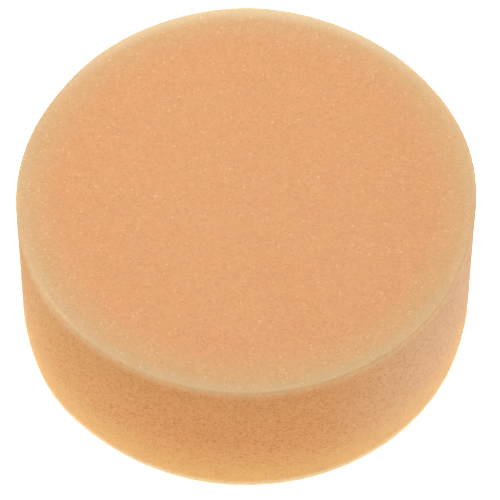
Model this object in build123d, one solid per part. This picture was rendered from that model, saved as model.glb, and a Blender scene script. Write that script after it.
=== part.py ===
from build123d import *
import os
from math import cos, pi, radians, tan

# Screw-on foam polishing pad for a rotary polisher. All sizes are in millimetres.
#
# A thick disc of open-cell foam is bonded to a moulded backing plate. A steel insert moulded
# into the plate carries the thread that screws onto the machine's spindle.
#
# The pad stands on the end of the insert with its working face up. The origin is the centre of
# the insert's seat, which meets the spindle's shoulder, and +Z runs along the spindle axis
# towards the working face.

# Foam disc
foam_diameter = 125.0
foam_thickness = 50.0
foam_edge_radius = 0.6
pocket_diameter = 24.0        # clearance behind the insert for the end of the spindle
pocket_depth = 10.0

# Adhesive between the plate and the foam
adhesive_thickness = 0.4
adhesive_rim_margin = 1.0     # bare plate outside the adhesive
adhesive_hub_margin = 3.0     # bare plate between the adhesive and the foam's pocket

# Threaded steel insert, M14 x 2
thread_major_diameter = 14.0
thread_pitch = 2.0
thread_pitches_cut = 1.0825   # a metric thread's major less its minor diameter, in pitches
insert_length = 14.0
hex_across_flats = 22.0
hex_length = 7.0
hex_corner_chamfer = 30.0     # degrees, on the end that meets the spindle
seat_inset = 0.5              # the seat's round edge lies this far inside the flats
neck_diameter = 19.0
flange_diameter = 34.0
flange_thickness = 2.5
flange_level = 8.3            # the flange's lower face, above the seat
key_count = 6                 # notches in the flange that the plastic fills
key_radius = 2.4
thread_mouth_clearance = 0.5  # the mouth's countersink is this much wider than the thread

# Moulded backing plate
foam_overhang = 7.5           # foam beyond the plate's rim
skin_thickness = 3.0
hex_exposed = 4.0             # hexagon left bare for a spanner
boss_wall = 3.0               # plastic round the flange
boss_draft = 20.0             # degrees
lip_width = 2.5
lip_height = 2.5
rib_count = 12
rib_thickness = 2.0
rib_height_at_boss = 3.8
rib_step = 0.4                # ribs stop this far short of the lip's edge
ring_rib_width = 2.0
rim_edge_radius = 0.8
boss_edge_radius = 1.0
root_radius = 1.0             # where the boss and the lip rise from the skin
rib_edge_radius = 0.4
root_bite = 0.6               # how far ribs run into the walls they join

# Modelling aids
cutter_margin = 1.0           # how far a cutting shape reaches past what it cuts
match_tolerance = 1e-4        # edges are found by radius and height to within this

# Levels and radii that follow from the sizes above
plate_top = insert_length
skin_bottom = plate_top - skin_thickness
lip_bottom = skin_bottom - lip_height
foam_bottom = plate_top + adhesive_thickness
foam_top = foam_bottom + foam_thickness
thread_minor_diameter = thread_major_diameter - thread_pitches_cut * thread_pitch
plate_radius = foam_diameter / 2 - foam_overhang
lip_inner_radius = plate_radius - lip_width
boss_radius = flange_diameter / 2 + boss_wall
boss_root_radius = boss_radius + (skin_bottom - hex_exposed) * tan(radians(boss_draft))
ring_rib_radius = (boss_root_radius + lip_inner_radius) / 2


def turned(points):
    """The solid that a closed outline of (radius, height) points sweeps about the Z axis."""
    outline = Polyline(*[(r, 0, z) for r, z in points], close=True)
    return revolve(make_face(outline), Axis.Z, 360)


def rings_at(shape, radius, height):
    """The circular edges of shape with this radius at this height."""
    return [
        edge
        for edge in shape.edges().filter_by(GeomType.CIRCLE)
        if abs(edge.radius - radius) < match_tolerance
        and abs(edge.arc_center.Z - height) < match_tolerance
    ]


def foam_disc():
    """Working foam: a plain disc with softened edges and a blind pocket at the back."""
    disc = Pos(0, 0, foam_bottom) * Cylinder(
        foam_diameter / 2, foam_thickness, align=(Align.CENTER, Align.CENTER, Align.MIN)
    )
    rims = rings_at(disc, foam_diameter / 2, foam_bottom) + rings_at(disc, foam_diameter / 2, foam_top)
    disc = fillet(rims, foam_edge_radius)
    pocket = Pos(0, 0, foam_bottom) * Cylinder(
        pocket_diameter / 2, pocket_depth, align=(Align.CENTER, Align.CENTER, Align.MIN)
    )
    return disc - pocket


def adhesive_layer():
    """Flat ring of contact adhesive that bonds the foam to the plate."""
    inner = pocket_diameter / 2 + adhesive_hub_margin
    outer = plate_radius - adhesive_rim_margin
    return turned([(inner, plate_top), (outer, plate_top), (outer, foam_bottom), (inner, foam_bottom)])


def threaded_insert():
    """Steel bush: a chamfered hexagon, a neck and a notched flange, bored at the thread's minor diameter."""
    hexagon = extrude(RegularPolygon(hex_across_flats / 2, 6, major_radius=False), hex_length)
    outside = hex_across_flats / 2 / cos(pi / 6) + cutter_margin
    slope = tan(radians(hex_corner_chamfer))
    seat_radius = hex_across_flats / 2 - seat_inset
    chamfer_height = (outside - seat_radius) * slope
    envelope = turned(
        [
            (0, 0),
            (seat_radius, 0),
            (outside, chamfer_height),
            (outside, hex_length),
            (0, hex_length),
        ]
    )
    head = hexagon & envelope
    neck = Cylinder(neck_diameter / 2, insert_length, align=(Align.CENTER, Align.CENTER, Align.MIN))
    flange = Pos(0, 0, flange_level) * Cylinder(
        flange_diameter / 2, flange_thickness, align=(Align.CENTER, Align.CENTER, Align.MIN)
    )
    notch = Pos(flange_diameter / 2, 0, flange_level) * Cylinder(
        key_radius, flange_thickness, align=(Align.CENTER, Align.CENTER, Align.MIN)
    )
    for k in range(key_count):
        flange -= Rot(0, 0, 360 / key_count * k) * notch
    minor = thread_minor_diameter / 2
    mouth = thread_major_diameter / 2 + thread_mouth_clearance / 2
    lead = mouth - minor
    bore = turned(
        [
            (0, 0),
            (mouth, 0),
            (minor, lead),
            (minor, insert_length - lead),
            (mouth, insert_length),
            (0, insert_length),
        ]
    )
    return head + neck + flange - bore


def backing_plate(insert):
    """Moulded plate: skin, rim lip, central boss and ribs, cast round the insert."""
    body = turned(
        [
            (0, plate_top),
            (plate_radius, plate_top),
            (plate_radius, lip_bottom),
            (lip_inner_radius, lip_bottom),
            (lip_inner_radius, skin_bottom),
            (boss_root_radius, skin_bottom),
            (boss_radius, hex_exposed),
            (0, hex_exposed),
        ]
    )
    rim = rings_at(body, plate_radius, plate_top) + rings_at(body, plate_radius, lip_bottom)
    body = fillet(rim + rings_at(body, lip_inner_radius, lip_bottom), rim_edge_radius)
    body = fillet(rings_at(body, boss_radius, hex_exposed), boss_edge_radius)
    roots = rings_at(body, lip_inner_radius, skin_bottom) + rings_at(body, boss_root_radius, skin_bottom)
    body = fillet(roots, root_radius)
    rib = radial_rib()
    for k in range(rib_count):
        body += Rot(0, 0, 360 / rib_count * (k + 0.5)) * rib
    body += ring_rib()
    # The steel fills its own space, so the plastic closes over the flange and into its notches.
    core = Cylinder(neck_diameter / 2, insert_length, align=(Align.CENTER, Align.CENTER, Align.MIN))
    return body - insert - core


def radial_rib():
    """One rib along +X from the boss to the lip, shallower at the lip."""
    start = boss_radius - root_bite
    end = lip_inner_radius + root_bite
    top = skin_bottom + root_bite
    outline = Polyline(
        (start, 0, top),
        (end, 0, top),
        (end, 0, lip_bottom + rib_step),
        (start, 0, skin_bottom - rib_height_at_boss),
        close=True,
    )
    rib = extrude(make_face(outline), rib_thickness / 2, dir=(0, 1, 0), both=True)
    lowest_face = rib.faces().sort_by(Axis.Z)[0]
    long_edges = lowest_face.edges().sort_by(SortBy.LENGTH)[-2:]
    return fillet(long_edges, rib_edge_radius)


def ring_rib():
    """The round rib that ties the radial ribs together half way out."""
    inner = ring_rib_radius - ring_rib_width / 2
    outer = ring_rib_radius + ring_rib_width / 2
    bottom = lip_bottom + rib_step
    top = skin_bottom + root_bite
    ring = turned([(inner, top), (outer, top), (outer, bottom), (inner, bottom)])
    return fillet(rings_at(ring, inner, bottom) + rings_at(ring, outer, bottom), rib_edge_radius)


def main():
    os.makedirs("parts", exist_ok=True)
    insert = threaded_insert()
    nodes = {
        "foam_disc": foam_disc(),
        "adhesive_layer": adhesive_layer(),
        "backing_plate": backing_plate(insert),
        "threaded_insert": insert,
    }
    for name, shape in nodes.items():
        export_step(shape, f"parts/{name}.step")
        print(name, round(shape.volume), "mm3")


main()
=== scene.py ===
import math

import bmesh
import bpy
import numpy as np
from mathutils import Matrix, Vector, noise


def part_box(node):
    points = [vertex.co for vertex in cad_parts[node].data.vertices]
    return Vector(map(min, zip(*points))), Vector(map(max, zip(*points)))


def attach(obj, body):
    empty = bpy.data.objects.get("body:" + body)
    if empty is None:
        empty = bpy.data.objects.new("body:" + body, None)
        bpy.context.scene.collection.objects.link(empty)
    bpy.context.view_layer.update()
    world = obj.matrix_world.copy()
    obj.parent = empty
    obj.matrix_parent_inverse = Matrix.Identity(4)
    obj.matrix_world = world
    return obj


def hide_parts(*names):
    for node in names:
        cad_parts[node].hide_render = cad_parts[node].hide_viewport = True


# A foam polishing pad for a rotary polisher, standing on its threaded insert with its working face up.
# The meshes are in metres. Materials work in millimetres, from Nodes.mm_point.
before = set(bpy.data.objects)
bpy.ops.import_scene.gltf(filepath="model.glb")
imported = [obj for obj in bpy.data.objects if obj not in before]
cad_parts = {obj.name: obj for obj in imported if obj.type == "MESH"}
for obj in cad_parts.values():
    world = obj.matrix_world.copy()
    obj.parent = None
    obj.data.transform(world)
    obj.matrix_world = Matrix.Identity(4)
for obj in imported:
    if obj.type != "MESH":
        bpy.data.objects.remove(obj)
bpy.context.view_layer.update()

MM = 0.001
foam_low, foam_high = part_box("foam_disc")
FOAM_RADIUS = foam_high.x
FOAM_BOTTOM, FOAM_TOP = foam_low.z, foam_high.z
FOAM_CENTRE = Vector((0, 0, (FOAM_BOTTOM + FOAM_TOP) / 2))
SHARP_ANGLE = math.radians(30)      # lathed pieces are shaded flat across edges sharper than this
rng = np.random.default_rng(7)


# ---------------------------------------------------------------- node helpers

class Nodes:
    """A short way to write a material's node tree."""

    def __init__(self, name):
        self.material = bpy.data.materials.new(name)
        self.material.use_nodes = True
        self.tree = self.material.node_tree
        self.tree.nodes.clear()
        self.output = self.tree.nodes.new("ShaderNodeOutputMaterial")

    def add(self, kind, inputs=None, **settings):
        node = self.tree.nodes.new("ShaderNode" + kind)
        for key, value in settings.items():
            setattr(node, key, value)
        for key, value in (inputs or {}).items():
            self.put(node, key, value)
        return node

    def put(self, node, key, value):
        if isinstance(value, bpy.types.NodeSocket):
            self.tree.links.new(value, node.inputs[key])
        else:
            node.inputs[key].default_value = value

    def math(self, operation, a, b):
        return self.add("Math", {0: a, 1: b}, operation=operation).outputs[0]

    def times(self, first, *others):
        for other in others:
            first = self.math("MULTIPLY", first, other)
        return first

    def plus(self, a, b):
        return self.math("ADD", a, b)

    def minus(self, a, b):
        return self.math("SUBTRACT", a, b)

    def larger(self, a, b):
        return self.math("MAXIMUM", a, b)

    def smooth(self, value, low, high, to_low=0.0, to_high=1.0):
        """value taken from low..high to to_low..to_high along a smooth step."""
        inputs = {0: value, 1: low, 2: high, 3: to_low, 4: to_high}
        return self.add("MapRange", inputs, interpolation_type="SMOOTHSTEP").outputs[0]

    def mix(self, share, a, b):
        """Colour a with this share of colour b."""
        node = self.add("Mix", data_type="RGBA")
        self.put(node, "Factor", share)
        self.put(node, 6, a)
        self.put(node, 7, b)
        return node.outputs[2]

    def vector(self, operation, inputs):
        return self.add("VectorMath", inputs, operation=operation)

    def mm_point(self):
        """The surface point in the row frame, in millimetres."""
        place = self.add("TexCoord").outputs["Object"]
        return self.vector("SCALE", {0: place, "Scale": 1 / MM}).outputs[0]

    def stretch(self, point, scale):
        return self.vector("MULTIPLY", {0: point, 1: scale}).outputs[0]

    def length(self, point):
        return self.vector("LENGTH", {0: point}).outputs["Value"]

    def axis_radius(self, point):
        """The point's distance from the Z axis."""
        return self.length(self.stretch(point, (1, 1, 0)))

    def xyz(self, point):
        return self.add("SeparateXYZ", {0: point}).outputs[:3]

    def height(self, point):
        return self.xyz(point)[2]

    def noise(self, point, period, detail=2.0, roughness=0.5):
        inputs = {"Vector": point, "Scale": 1 / period, "Detail": detail, "Roughness": roughness}
        return self.add("TexNoise", inputs).outputs[0]

    def cells(self, point, period):
        return self.add("TexVoronoi", {"Vector": point, "Scale": 1 / period})

    def bump(self, height, distance, strength):
        inputs = {"Height": height, "Distance": distance, "Strength": strength}
        return self.add("Bump", inputs).outputs[0]

    def principled(self, **inputs):
        named = {key.replace("_", " "): value for key, value in inputs.items()}
        return self.add("BsdfPrincipled", named).outputs[0]

    def finish(self, shader):
        """The material, with this shader as its surface."""
        self.tree.links.new(shader, self.output.inputs["Surface"])
        return self.material


def srgb(red, green, blue):
    """A linear colour with alpha from 8-bit sRGB values."""
    parts = [c / 255 for c in (red, green, blue)]
    linear = [c / 12.92 if c <= 0.04045 else ((c + 0.055) / 1.055) ** 2.4 for c in parts]
    return (*linear, 1.0)


# ---------------------------------------------------------------- mesh helpers

def new_piece(name, points, faces, material):
    mesh = bpy.data.meshes.new(name)
    mesh.from_pydata([tuple(p) for p in points], [], faces)
    mesh.validate()
    mesh.polygons.foreach_set("use_smooth", [True] * len(mesh.polygons))
    mesh.update()
    piece = bpy.data.objects.new(name, mesh)
    bpy.context.scene.collection.objects.link(piece)
    mesh.materials.append(material)
    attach(piece, "root")
    return piece


def stitch(start_a, angles_a, start_b, angles_b):
    """Triangles from ring a to ring b, the next on a path outward above, down the outside and inward."""
    faces = []
    n, m = len(angles_a), len(angles_b)
    i = j = 0
    full = 2 * math.pi
    while i < n or j < m:
        next_a = angles_a[i + 1] if i + 1 < n else angles_a[0] + full
        next_b = angles_b[j + 1] if j + 1 < m else angles_b[0] + full
        a, b = start_a + i % n, start_b + j % m
        if j >= m or (i < n and next_a <= next_b):
            faces.append((a, b, start_a + (i + 1) % n))
            i += 1
        else:
            faces.append((a, b, start_b + (j + 1) % m))
            j += 1
    return faces


def loft(name, rings, material):
    """A round piece from rings that run outward below, up the outside, inward above and down the inside."""
    count = len(rings[0])
    points = [point for ring_points in rings for point in ring_points]
    faces = []
    for k in range(len(rings)):
        a, b = k * count, (k + 1) % len(rings) * count
        for i in range(count):
            j = (i + 1) % count
            faces.append((a + i, a + j, b + j, b + i))
    piece = new_piece(name, points, faces, material)
    mark_sharp_edges(piece)
    return piece


def mark_sharp_edges(piece):
    shape = bmesh.new()
    shape.from_mesh(piece.data)
    for edge in shape.edges:
        edge.smooth = edge.calc_face_angle(0.0) < SHARP_ANGLE
    shape.to_mesh(piece.data)
    shape.free()


def ring(count, radius, height):
    """count points round the Z axis, whose radius and height are numbers or functions of the angle."""
    points = []
    for i in range(count):
        angle = 2 * math.pi * i / count
        r = radius(angle) if callable(radius) else radius
        z = height(angle) if callable(height) else height
        points.append((r * math.cos(angle), r * math.sin(angle), z))
    return points


# ---------------------------------------------------------------- foam

EDGE_RADIUS = 0.6 * MM
POCKET_RADIUS = 12 * MM
POCKET_DEPTH = 10 * MM
POCKET_ROWS = 4
ADHESIVE_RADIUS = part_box("adhesive_layer")[1].x
ROLL_WIDTH = 7 * MM     # the working face eases down over this margin
ROLL_DROP = 0.6 * MM
FINE = 0.66 * MM        # spacing of the foam's points where it shows,
MEDIUM = 0.86 * MM      # behind the overhang
COARSE = 3 * MM         # and where the plate covers it
JITTER = 0.16           # how far points stray along the surface, as a share of their spacing
# azimuth in degrees, swell in mm and spread in degrees of each stray of the cut from a true circle
OUTLINE_SWELLS = ((18, 0.45, 16), (92, 0.5, 18), (148, -0.48, 15), (214, 0.68, 13), (345, -0.4, 14))
# heights and periods of the cut surface's relief, in mm
WAVE, WAVE_PERIOD = 0.09, 26
MOTTLE, MOTTLE_PERIOD = 0.035, 2.2
TORN, TORN_PERIOD = 0.14, 1.2
# the material's open cells, in mm
CELL_PERIOD = 0.75
BEND_PERIOD = 1.6       # the cells are bent out of shape by a noise of this period
BEND_REACH = 0.9        # and this strength


def rolled_top(radius):
    """The working face's height, which eases down near its edge."""
    share = max(0.0, (radius - FOAM_RADIUS + ROLL_WIDTH) / ROLL_WIDTH)
    return FOAM_TOP - ROLL_DROP * share ** 2


def level_run(start, end, height, lean, spacing):
    """Stations at one height from the start radius, which is left out, in to the end radius."""
    steps = round((start - end) / spacing)
    return [(start - (start - end) * k / steps, height, lean, spacing) for k in range(1, steps + 1)]


def foam_profile():
    """Stations (radius, height, lean, spacing) from the middle of the face to the pocket's ceiling.

    The lean is the angle of the surface's outward direction above level, or None where nothing shows.
    """
    quarter = math.pi / 2
    row = FINE * math.sqrt(3) / 2       # between rows of points that make even triangles
    flat = FOAM_RADIUS - EDGE_RADIUS
    side_top = rolled_top(flat) - EDGE_RADIUS
    side_bottom = FOAM_BOTTOM + EDGE_RADIUS
    tall = side_top - side_bottom
    ceiling = FOAM_BOTTOM + POCKET_DEPTH

    def edge_station(centre_height, lean):
        radius = flat + EDGE_RADIUS * math.cos(lean)
        return radius, centre_height + EDGE_RADIUS * math.sin(lean), lean, FINE

    steps = round(flat / row)
    stations = [(flat * k / steps, rolled_top(flat * k / steps), quarter, FINE) for k in range(steps)]
    stations += [edge_station(side_top, lean) for lean in (quarter, quarter / 2, 0.0)]
    steps = round(tall / row)
    stations += [(FOAM_RADIUS, side_top - tall * k / steps, 0.0, FINE) for k in range(1, steps)]
    stations += [edge_station(side_bottom, lean) for lean in (0.0, -quarter / 2, -quarter)]
    stations += level_run(flat, ADHESIVE_RADIUS, FOAM_BOTTOM, -quarter, MEDIUM)
    stations += level_run(ADHESIVE_RADIUS, POCKET_RADIUS, FOAM_BOTTOM, None, COARSE)
    for k in range(1, POCKET_ROWS + 1):
        stations.append((POCKET_RADIUS, FOAM_BOTTOM + POCKET_DEPTH * k / POCKET_ROWS, None, COARSE))
    stations += level_run(POCKET_RADIUS, 0.0, ceiling, None, COARSE)
    return stations


def foam_relief(point):
    """How far the cut surface stands out at a point, in metres: soft waves, mottling and torn cells."""
    p = point / MM
    waves = noise.noise(p / WAVE_PERIOD) * WAVE
    mottle = noise.noise(p / MOTTLE_PERIOD + Vector((9, 4, 7))) * MOTTLE
    near, second = noise.voronoi(p / TORN_PERIOD)[0][:2]
    torn = (min(second - near, 0.5) - 0.25) * TORN
    return (waves + mottle + torn) * MM


def outline_swell(angle):
    """How far the hand-cut outline strays from a true circle, in metres."""
    stray = 0.0
    for azimuth, height, spread in OUTLINE_SWELLS:
        away = (angle - math.radians(azimuth) + math.pi) % (2 * math.pi) - math.pi
        stray += height * math.exp(-((away / math.radians(spread)) ** 2))
    return stray * MM


def cut_point(angle, radius, height, lean, spacing):
    """The foam's surface near a station, strayed along the surface and standing out by its relief."""
    swollen = radius + outline_swell(angle) * radius / FOAM_RADIUS
    spot = Vector((swollen * math.cos(angle), swollen * math.sin(angle), height))
    if lean is None:
        return spot
    level = math.cos(lean)
    out = Vector((level * math.cos(angle), level * math.sin(angle), math.sin(lean)))
    stray = Vector(rng.uniform(-JITTER, JITTER, 3) * spacing)
    spot += stray - out * stray.dot(out)
    return spot + out * foam_relief(spot)


def build_foam():
    points, faces, rings = [], [], []
    for k, (radius, height, lean, spacing) in enumerate(foam_profile()):
        count = 1 if radius < 0.001 * MM else max(6, round(2 * math.pi * radius / spacing))
        phase = (k % 2) / 2
        angles = [(i + phase) * 2 * math.pi / count for i in range(count)]
        rings.append((len(points), angles))
        points += [cut_point(angle, radius, height, lean, spacing) for angle in angles]
    for (start_a, angles_a), (start_b, angles_b) in zip(rings, rings[1:]):
        faces += stitch(start_a, angles_a, start_b, angles_b)
    faces = [face for face in faces if len(set(face)) == 3]
    foam = new_piece("foam", points, faces, foam_material())
    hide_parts("foam_disc")


def foam_zones(n, point):
    """Masks from 0 to 1 for the parts of the disc where light and shade are painted into its colour."""
    radius = n.axis_radius(point)
    x, y, z = n.xyz(point)
    edge, bottom = FOAM_RADIUS / MM, FOAM_BOTTOM / MM
    brow = (FOAM_TOP - ROLL_DROP) / MM      # about where the rolled-down face meets the small radius

    def near_edge(start, end):
        return n.smooth(radius, edge - start, edge - end)

    def near_brow(start, end):
        return n.smooth(z, brow - start, brow - end)

    def near_bottom(start, end):
        return n.smooth(z, bottom + start, bottom + end)

    top = near_brow(0.45, 0.1)
    back = n.times(near_bottom(0.8, 0.1), near_edge(0.0, 1.0))
    side = n.minus(n.minus(1.0, top), back)
    # side is the cut side wall; the other masks place painted light: pale bands where light passes through
    # the cut edges, a painted highlight under the brow, a paler right side and a warmer left side for how
    # the lamps fall, and a warm glow towards the bottom for light from the floor below
    return {
        "side": side,
        "margin": n.times(near_edge(14.0, 3.0), top),
        "rim": n.times(near_edge(5.0, 0.5), top),
        "far_rim": n.times(n.smooth(y, 22.0, edge - 2.0), near_edge(5.0, 0.3), top),
        "lip": n.times(near_edge(1.2, 0.3), near_brow(0.7, 0.2)),
        "ridge": n.times(near_brow(4.6, 0.2), side),
        "right": n.times(n.smooth(x, 12.0, edge - 6.0), side),
        "left": n.times(n.smooth(x, -15.0, 4.0 - edge), side),
        "foot": n.times(near_bottom(24.0, 0.5), side),
        "toe": n.times(near_bottom(3.6, 0.8), near_edge(1.5, 0.3)),
    }


def foam_colour_with_painted_light(n, zones):
    """The foam's colour with painted light: paler where light passes through its cut edges, and paler,
    warmer or brighter where the lamps and the floor light its sides.
    """
    # the side wall is painted a deeper orange than the working face: painted shade, for the side being lit
    # only by light scattered through the foam
    colour = n.mix(zones["side"], srgb(230, 167, 117), srgb(229, 157, 90))
    # each layer is painted light: margin, rim, lip and far_rim are pale bands for light through the cut
    # edge, palest on the far rim where the back lamp shines through; ridge is a painted highlight under the
    # brow; right is a paler side and left a warmer side for how the lamps fall; foot and toe are a painted
    # warm glow towards the bottom for light from the floor below
    painted_light_layers = (
        ("margin", 0.8, srgb(223, 180, 130)),
        ("rim", 0.75, srgb(224, 193, 148)),
        ("right", 0.55, srgb(222, 191, 158)),
        ("left", 0.5, srgb(232, 172, 92)),
        ("ridge", 0.8, srgb(240, 195, 136)),
        ("lip", 0.65, srgb(240, 201, 151)),
        ("far_rim", 0.75, srgb(238, 216, 174)),
        ("foot", 0.75, srgb(240, 190, 114)),
        ("toe", 0.85, srgb(240, 232, 188)),
    )
    for zone, share, paint in painted_light_layers:
        colour = n.mix(n.times(zones[zone], share), colour, paint)
    return colour


def bent_point(n, point):
    """The point moved by a noise, which bends the cells out of their regular shape."""
    inputs = {"Vector": point, "Scale": 1 / BEND_PERIOD, "Detail": 1.0}
    bend = n.add("TexNoise", inputs).outputs["Color"]
    bend = n.vector("SUBTRACT", {0: bend, 1: (0.5, 0.5, 0.5)}).outputs[0]
    return n.vector("MULTIPLY_ADD", {0: bend, 1: (BEND_REACH,) * 3, 2: point}).outputs[0]


def foam_material():
    n = Nodes("open_cell_foam")
    point = n.mm_point()
    zones = foam_zones(n, point)
    side = zones["side"]

    def by_zone(on_top, on_side):
        return n.smooth(side, 0.0, 1.0, on_top, on_side)

    # open cells, each with its own depth of painted shade in its hollow; distances from a cell's middle are
    # in cell periods
    cell = n.cells(bent_point(n, point), CELL_PERIOD)
    openness, membrane = n.add("SeparateColor", {0: cell.outputs["Color"]}).outputs[:2]
    from_middle = cell.outputs["Distance"]
    pore = n.times(n.smooth(from_middle, 0.56, 0.22), n.smooth(openness, 0.05, 0.9))
    clump = n.noise(point, 1.8, 3.0, 0.6)
    grit = n.noise(point, 0.4, 2.0, 0.6)
    cloud = n.noise(point, 30.0, 2.0)

    # the cells show less where the cut edges are painted pale for light passing through them
    painted_glow = n.larger(n.larger(zones["rim"], zones["foot"]), n.larger(zones["lip"], zones["ridge"]))
    calm = n.minus(1.0, n.times(painted_glow, 0.6))
    # painted shade in the open cells' hollows, deeper on the side wall than on the face, with a random
    # darker mottle from the clumps
    shade = n.plus(n.times(pore, 0.95), n.times(n.smooth(clump, 0.36, 0.66), 0.15))
    shade = n.times(shade, by_zone(0.045, 0.58), calm)
    pore_shade_colour = n.mix(side, srgb(206, 126, 72), srgb(204, 102, 20))
    colour = n.mix(shade, foam_colour_with_painted_light(n, zones), pore_shade_colour)

    # painted highlights on the foam's strands between the cells, pale clumps and clouds of random tone, and
    # painted glints on a few cells a membrane shuts
    strut_highlight = n.times(n.smooth(from_middle, 0.38, 0.60), n.smooth(grit, 0.44, 0.64))
    strut_highlight = n.times(strut_highlight, calm, by_zone(0.34, 0.38))
    colour = n.mix(strut_highlight, colour, srgb(250, 196, 134))
    colour = n.mix(n.smooth(clump, 0.50, 0.72, 0.0, 0.22), colour, srgb(248, 192, 142))
    colour = n.mix(n.times(n.smooth(cloud, 0.3, 0.7), 0.08), colour, srgb(240, 180, 130))
    # painted glints: pale spots on a few cells that a membrane shuts, more of them near the face's edge
    membrane_glint = n.smooth(n.plus(membrane, n.times(zones["margin"], 0.08)), 0.86, 0.99)
    membrane_glint = n.times(membrane_glint, n.smooth(from_middle, 0.47, 0.25), by_zone(0.62, 0.45))
    colour = n.mix(membrane_glint, colour, srgb(255, 214, 166))

    relief = n.plus(n.minus(n.times(grit, 0.55), n.times(pore, 0.5)), n.times(clump, 0.4))
    relief = n.times(relief, by_zone(0.72, 1.0))
    return n.finish(n.principled(
        Base_Color=colour,
        Roughness=0.92,
        Normal=n.bump(relief, 0.36 * MM, 0.85),
        Specular_IOR_Level=0.2,
        Subsurface_Weight=0.35,
        Subsurface_Radius=(1.0, 0.5, 0.28),
        Subsurface_Scale=3.5 * MM,
        Sheen_Weight=0.14,
        Sheen_Roughness=0.4,
        Sheen_Tint=(1.0, 0.94, 0.86, 1.0),
    ))


# ---------------------------------------------------------------- adhesive

ADHESIVE_INNER = 15 * MM
ADHESIVE_SAMPLES = 360
SQUEEZE_OUT = 0.45 * MM         # how far the adhesive stands out past its film on average
SQUEEZE_VARIATION = 0.5 * MM
BEAD_DROOP = 0.25 * MM          # how far the bead hangs below the plate's upper face
STREAK_PERIOD = 5.0             # mm
BUBBLE_PERIOD = 1.1             # mm


def squeeze_out(angle):
    """How far the bead of adhesive stands out at an angle, in metres."""
    around = Vector((math.cos(angle), math.sin(angle), 0))
    wander = noise.noise(around * 4.0) + 0.5 * noise.noise(around * 15.0)
    return SQUEEZE_OUT + SQUEEZE_VARIATION * wander


def build_adhesive():
    low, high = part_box("adhesive_layer")
    outer, bottom, top = high.x, low.z, high.z

    def bead(share, height):
        return ring(ADHESIVE_SAMPLES, lambda angle: outer + share * squeeze_out(angle), height)

    rings = [
        ring(ADHESIVE_SAMPLES, ADHESIVE_INNER, bottom),
        ring(ADHESIVE_SAMPLES, outer, bottom),
        bead(0.45, bottom - 0.5 * BEAD_DROOP),
        bead(0.80, bottom - BEAD_DROOP),
        bead(1.00, bottom - 0.5 * BEAD_DROOP),
        bead(1.08, bottom + 0.35 * (top - bottom)),
        bead(0.95, bottom + 0.80 * (top - bottom)),
        bead(0.60, top),
        ring(ADHESIVE_SAMPLES, ADHESIVE_INNER, top),
    ]
    adhesive = loft("adhesive_film", rings, adhesive_material())
    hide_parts("adhesive_layer")


def adhesive_material():
    n = Nodes("contact_adhesive")
    point = n.mm_point()
    streaks = n.noise(point, STREAK_PERIOD, 3.0, 0.6)
    bubbles = n.cells(point, BUBBLE_PERIOD).outputs["Distance"]
    colour = n.mix(n.smooth(streaks, 0.3, 0.7), srgb(206, 182, 138), srgb(226, 206, 164))
    colour = n.mix(n.smooth(bubbles, 0.22, 0.05, 0.0, 0.5), colour, srgb(240, 226, 194))
    relief = n.plus(streaks, n.times(n.smooth(bubbles, 0.25, 0.0), 0.3))
    return n.finish(n.principled(
        Base_Color=colour,
        Roughness=n.smooth(streaks, 0.3, 0.7, 0.28, 0.45),
        Normal=n.bump(relief, 0.3 * MM, 0.7),
        Subsurface_Weight=0.3,
        Subsurface_Radius=(1.0, 0.7, 0.35),
        Subsurface_Scale=1.2 * MM,
    ))


# ---------------------------------------------------------------- threaded insert

STEEL_SAMPLES = 240             # a multiple of 12, so that the hexagon's corners and flats fall on points
HEX_HALF_FLATS = 11 * MM
SEAT_RADIUS = 10.5 * MM
CHAMFER = math.radians(30)
HEX_TOP = 7 * MM
NECK_RADIUS = 9.5 * MM
FLANGE_LEVELS = (8.3 * MM, 10.8 * MM)
NOTCH_RADIUS = 2.4 * MM
MOUTH_RADIUS = 7.25 * MM
THREAD_MAJOR = 7.0 * MM
THREAD_MINOR = 5.9175 * MM
THREAD_PITCH = 2.0 * MM
THREAD_ROWS = 16                # rows of points in one pitch
ROOT_HALF_WIDTH = 1 / 16        # of the thread's flat root, in pitches
CREST_START = 3 / 8             # where its flat crest starts, in pitches from the root's middle
EDGE_BREAK = 0.15 * MM


def hexagon(angle):
    """The hexagon's radius, with a corner on +X."""
    return HEX_HALF_FLATS / math.cos(angle % (math.pi / 3) - math.pi / 6)


def notched_flange(radius):
    """The flange's radius at each angle: a circle with six round notches."""
    def outline(angle):
        away = (angle + math.pi / 6) % (math.pi / 3) - math.pi / 6
        reach = NOTCH_RADIUS ** 2 - (radius * math.sin(away)) ** 2
        return radius if reach <= 0 else radius * math.cos(away) - math.sqrt(reach)
    return outline


def thread_radius(angle, height, length):
    """The bore's radius: a right-hand thread with flat crests and roots, countersunk at both ends."""
    phase = (height / THREAD_PITCH - angle / (2 * math.pi)) % 1.0
    from_root = abs(phase - 0.5)
    flank = min(max((from_root - ROOT_HALF_WIDTH) / (CREST_START - ROOT_HALF_WIDTH), 0.0), 1.0)
    thread = THREAD_MAJOR + (THREAD_MINOR - THREAD_MAJOR) * flank
    countersink = MOUTH_RADIUS - min(height, length - height)
    return max(thread, countersink)


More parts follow.
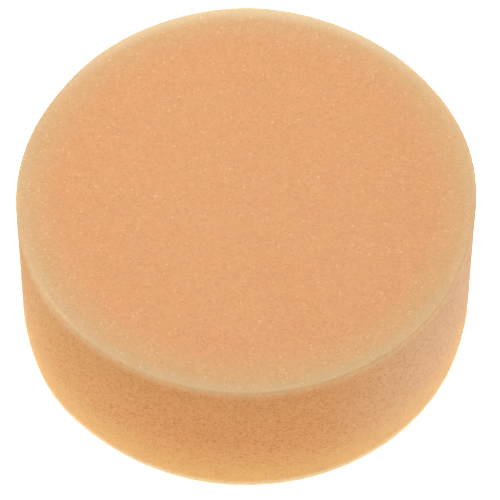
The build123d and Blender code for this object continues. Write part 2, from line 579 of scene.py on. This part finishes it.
def build_insert():
    low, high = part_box("threaded_insert")
    bottom, length = low.z, high.z - low.z
    flange = notched_flange(high.x)
    slope = math.tan(CHAMFER)

    def steel_ring(radius, height):
        return ring(STEEL_SAMPLES, radius, height)

    rings = [
        steel_ring(MOUTH_RADIUS + EDGE_BREAK, bottom),
        steel_ring(SEAT_RADIUS - EDGE_BREAK, bottom),
        steel_ring(SEAT_RADIUS, bottom + EDGE_BREAK * slope),
        steel_ring(hexagon, lambda angle: bottom + (hexagon(angle) - SEAT_RADIUS + EDGE_BREAK) * slope),
        steel_ring(hexagon, HEX_TOP),
        steel_ring(NECK_RADIUS, HEX_TOP),
        steel_ring(NECK_RADIUS, FLANGE_LEVELS[0]),
        steel_ring(flange, FLANGE_LEVELS[0]),
        steel_ring(flange, FLANGE_LEVELS[1]),
        steel_ring(NECK_RADIUS, FLANGE_LEVELS[1]),
        steel_ring(NECK_RADIUS, bottom + length),
    ]
    rows = round(length / THREAD_PITCH * THREAD_ROWS)
    for k in range(rows, -1, -1):
        height = length * k / rows
        rings.append(steel_ring(lambda angle, z=height: thread_radius(angle, z, length), bottom + height))
    insert = loft("steel_insert", rings, steel_material())
    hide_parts("threaded_insert")


def steel_material():
    n = Nodes("turned_steel")
    point = n.mm_point()
    radius, z = n.axis_radius(point), n.height(point)
    mouth = MOUTH_RADIUS / MM
    # the tool's fine rings, on the seat that was turned
    rings = {"W": n.times(radius, 9.0), "Scale": 1.0, "Detail": 2.0}
    lathe = n.add("TexNoise", rings, noise_dimensions="1D").outputs[0]
    turned = n.smooth(z, 0.6, 0.05)
    # grain and scratches along the drawn bar
    drawn = n.stretch(point, (1.0, 1.0, 0.12))
    grain = n.noise(drawn, 0.35, 3.0, 0.6)
    scratches = n.smooth(n.noise(drawn, 1.3, 5.0, 0.75), 0.60, 0.68)
    patina = n.noise(point, 6.0, 3.0, 0.6)
    bore = n.smooth(radius, mouth + 0.05, mouth - 0.35)
    grease = n.times(bore, n.smooth(radius, 6.2, 7.0, 0.15, 0.65))
    colour = n.mix(n.smooth(patina, 0.3, 0.7), srgb(168, 168, 166), srgb(190, 191, 192))
    colour = n.mix(grease, colour, srgb(96, 90, 80))
    colour = n.mix(n.times(scratches, 0.35), colour, srgb(232, 232, 230))
    relief = n.plus(n.times(grain, 0.5), n.times(lathe, turned, 1.2))
    return n.finish(n.principled(
        Base_Color=colour,
        Metallic=1.0,
        Roughness=n.plus(n.smooth(patina, 0.3, 0.7, 0.30, 0.44), n.times(bore, 0.12)),
        Normal=n.bump(relief, 0.03 * MM, 0.6),
    ))


# ---------------------------------------------------------------- backing plate

LIP_HEIGHT = 4.5        # mm from the hub's face, the plate's lowest, up to its rim lip
HUB_RADIUS = 20.0       # mm


def plate_material():
    n = Nodes("moulded_plastic")
    point = n.mm_point()
    radius, z = n.axis_radius(point), n.height(point)
    low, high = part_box("backing_plate")
    plate_radius, hub_level = high.x / MM, low.z / MM
    lip_level = hub_level + LIP_HEIGHT
    spark = n.noise(point, 0.32, 3.0, 0.65)
    flow = n.noise(point, 14.0, 4.0, 0.6)
    scuffs = n.smooth(n.noise(point, 1.6, 6.0, 0.78), 0.57, 0.66)
    dust = n.smooth(n.noise(point, 4.0, 5.0, 0.7), 0.45, 0.75)
    # the lip and the hub's face stand out furthest, so they are scuffed
    on_lip = n.smooth(radius, plate_radius - 3.0, plate_radius - 1.8)
    on_hub = n.smooth(radius, HUB_RADIUS + 1.0, HUB_RADIUS - 1.5)
    lip_wear = n.times(on_lip, n.smooth(z, lip_level + 0.9, lip_level + 0.1))
    hub_wear = n.times(on_hub, n.smooth(z, hub_level + 0.8, hub_level))
    wear = n.times(n.larger(lip_wear, hub_wear), scuffs)
    settled = n.times(dust, n.smooth(z, lip_level, lip_level + 2.5, 0.0, 0.10))
    colour = n.mix(n.smooth(flow, 0.35, 0.65), srgb(34, 34, 36), srgb(40, 40, 42))
    colour = n.mix(settled, colour, srgb(140, 132, 120))
    colour = n.mix(n.times(wear, 0.5), colour, srgb(112, 112, 112))
    return n.finish(n.principled(
        Base_Color=colour,
        Roughness=n.plus(n.smooth(flow, 0.3, 0.7, 0.42, 0.52), n.times(wear, 0.18)),
        Normal=n.bump(n.minus(spark, n.times(wear, 0.6)), 0.06 * MM, 0.5),
    ))


def dress_plate():
    """The plate's CAD shape is right as it is, so it only takes a better material."""
    material = plate_material()
    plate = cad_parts["backing_plate"]
    for slot in plate.material_slots:
        slot.material = material


# ---------------------------------------------------------------- studio

FLOOR_HALF = 3.0
# the floor glows: strength, and the distances in mm from the pad's middle that it changes between
WIDE_GLOW, WIDE_REACH = (0.88, 0.05), (105.0, 330.0)
NEAR_GLOW, NEAR_REACH = (0.45, 0.0), (62.0, 95.0)           # lights the foot of the pad's side
UNDER_SHARE, UNDER_REACH = (0.3, 1.0), (34.0, 51.0)         # dimmer under the pad
# name, place, diameter and power of each light, which is aimed at the foam
LIGHTS = (
    ("key", (-0.25, 0.2, 0.97), 0.6, 5.9),
    ("side", (0.75, 0.15, 0.28), 0.35, 1.1),
    ("front", (-0.15, -0.85, 0.35), 0.5, 0.35),
    ("back", (-0.1, 0.9, 0.35), 0.5, 1.2),
)
SKY_STRENGTH = 0.35
CAMERA_ELEVATION = math.radians(57.32)
CAMERA_ROLL = math.radians(0.46)
CAMERA_DISTANCE = 20 * FOAM_RADIUS
CAMERA_SHIFT = (-0.018 * FOAM_RADIUS, 0.0245 * FOAM_RADIUS)   # where the pad's middle lies in the view
CAMERA_LENS = 326.2
CAMERA_SENSOR = 36
CAMERA_CLIP = (0.01, 20)


def floor_material():
    """A pale floor that glows round the pad and can be seen through from below."""
    n = Nodes("studio_floor")
    point = n.mm_point()
    distance = n.length(point)
    colour = n.mix(n.noise(point, 60.0, 3.0), (0.80, 0.80, 0.80, 1), (0.83, 0.83, 0.83, 1))
    glow = n.plus(n.smooth(distance, *WIDE_REACH, *WIDE_GLOW), n.smooth(distance, *NEAR_REACH, *NEAR_GLOW))
    lit = n.principled(
        Base_Color=colour,
        Roughness=0.8,
        Emission_Color=(1, 1, 1, 1),
        Emission_Strength=n.times(glow, n.smooth(distance, *UNDER_REACH, *UNDER_SHARE)),
    )
    clear = n.add("BsdfTransparent").outputs[0]
    behind = n.add("NewGeometry").outputs["Backfacing"]
    return n.finish(n.add("MixShader", {0: behind, 1: lit, 2: clear}).outputs[0])


def build_floor():
    corners = [(x * FLOOR_HALF, y * FLOOR_HALF, 0) for x, y in ((-1, -1), (1, -1), (1, 1), (-1, 1))]
    mesh = bpy.data.meshes.new("floor")
    mesh.from_pydata(corners, [], [(0, 1, 2, 3)])
    mesh.materials.append(floor_material())
    floor = bpy.data.objects.new("floor", mesh)
    bpy.context.scene.collection.objects.link(floor)


def area_light(name, place, size, power):
    data = bpy.data.lights.new(name, "AREA")
    data.shape = "DISK"
    data.size = size
    data.energy = power
    light = bpy.data.objects.new(name, data)
    light.location = place
    light.rotation_euler = (FOAM_CENTRE - light.location).to_track_quat("-Z", "Y").to_euler()
    bpy.context.scene.collection.objects.link(light)


def build_lights():
    for name, place, size, power in LIGHTS:
        area_light(name, place, size, power)
    world = bpy.data.worlds.new("studio")
    world.use_nodes = True
    sky = world.node_tree.nodes["Background"]
    sky.inputs["Color"].default_value = (1, 1, 1, 1)
    sky.inputs["Strength"].default_value = SKY_STRENGTH
    bpy.context.scene.world = world
    bpy.context.scene.view_settings.view_transform = "Standard"


def build_camera():
    tilt, roll = CAMERA_ELEVATION, CAMERA_ROLL
    level = Vector((1, 0, 0))
    rise = Vector((0, math.sin(tilt), math.cos(tilt)))
    back = Vector((0, -math.cos(tilt), math.sin(tilt)))
    right = math.cos(roll) * level + math.sin(roll) * rise
    up = math.cos(roll) * rise - math.sin(roll) * level
    data = bpy.data.cameras.new("camera")
    data.lens = CAMERA_LENS
    data.sensor_width = CAMERA_SENSOR
    data.clip_start, data.clip_end = CAMERA_CLIP
    camera = bpy.data.objects.new("camera", data)
    place = FOAM_CENTRE + back * CAMERA_DISTANCE - right * CAMERA_SHIFT[0] - up * CAMERA_SHIFT[1]
    camera.matrix_world = Matrix.Translation(place) @ Matrix((right, up, back)).transposed().to_4x4()
    bpy.context.scene.collection.objects.link(camera)
    bpy.context.scene.camera = camera


build_foam()
build_adhesive()
build_insert()
dress_plate()
build_floor()
build_lights()
build_camera()
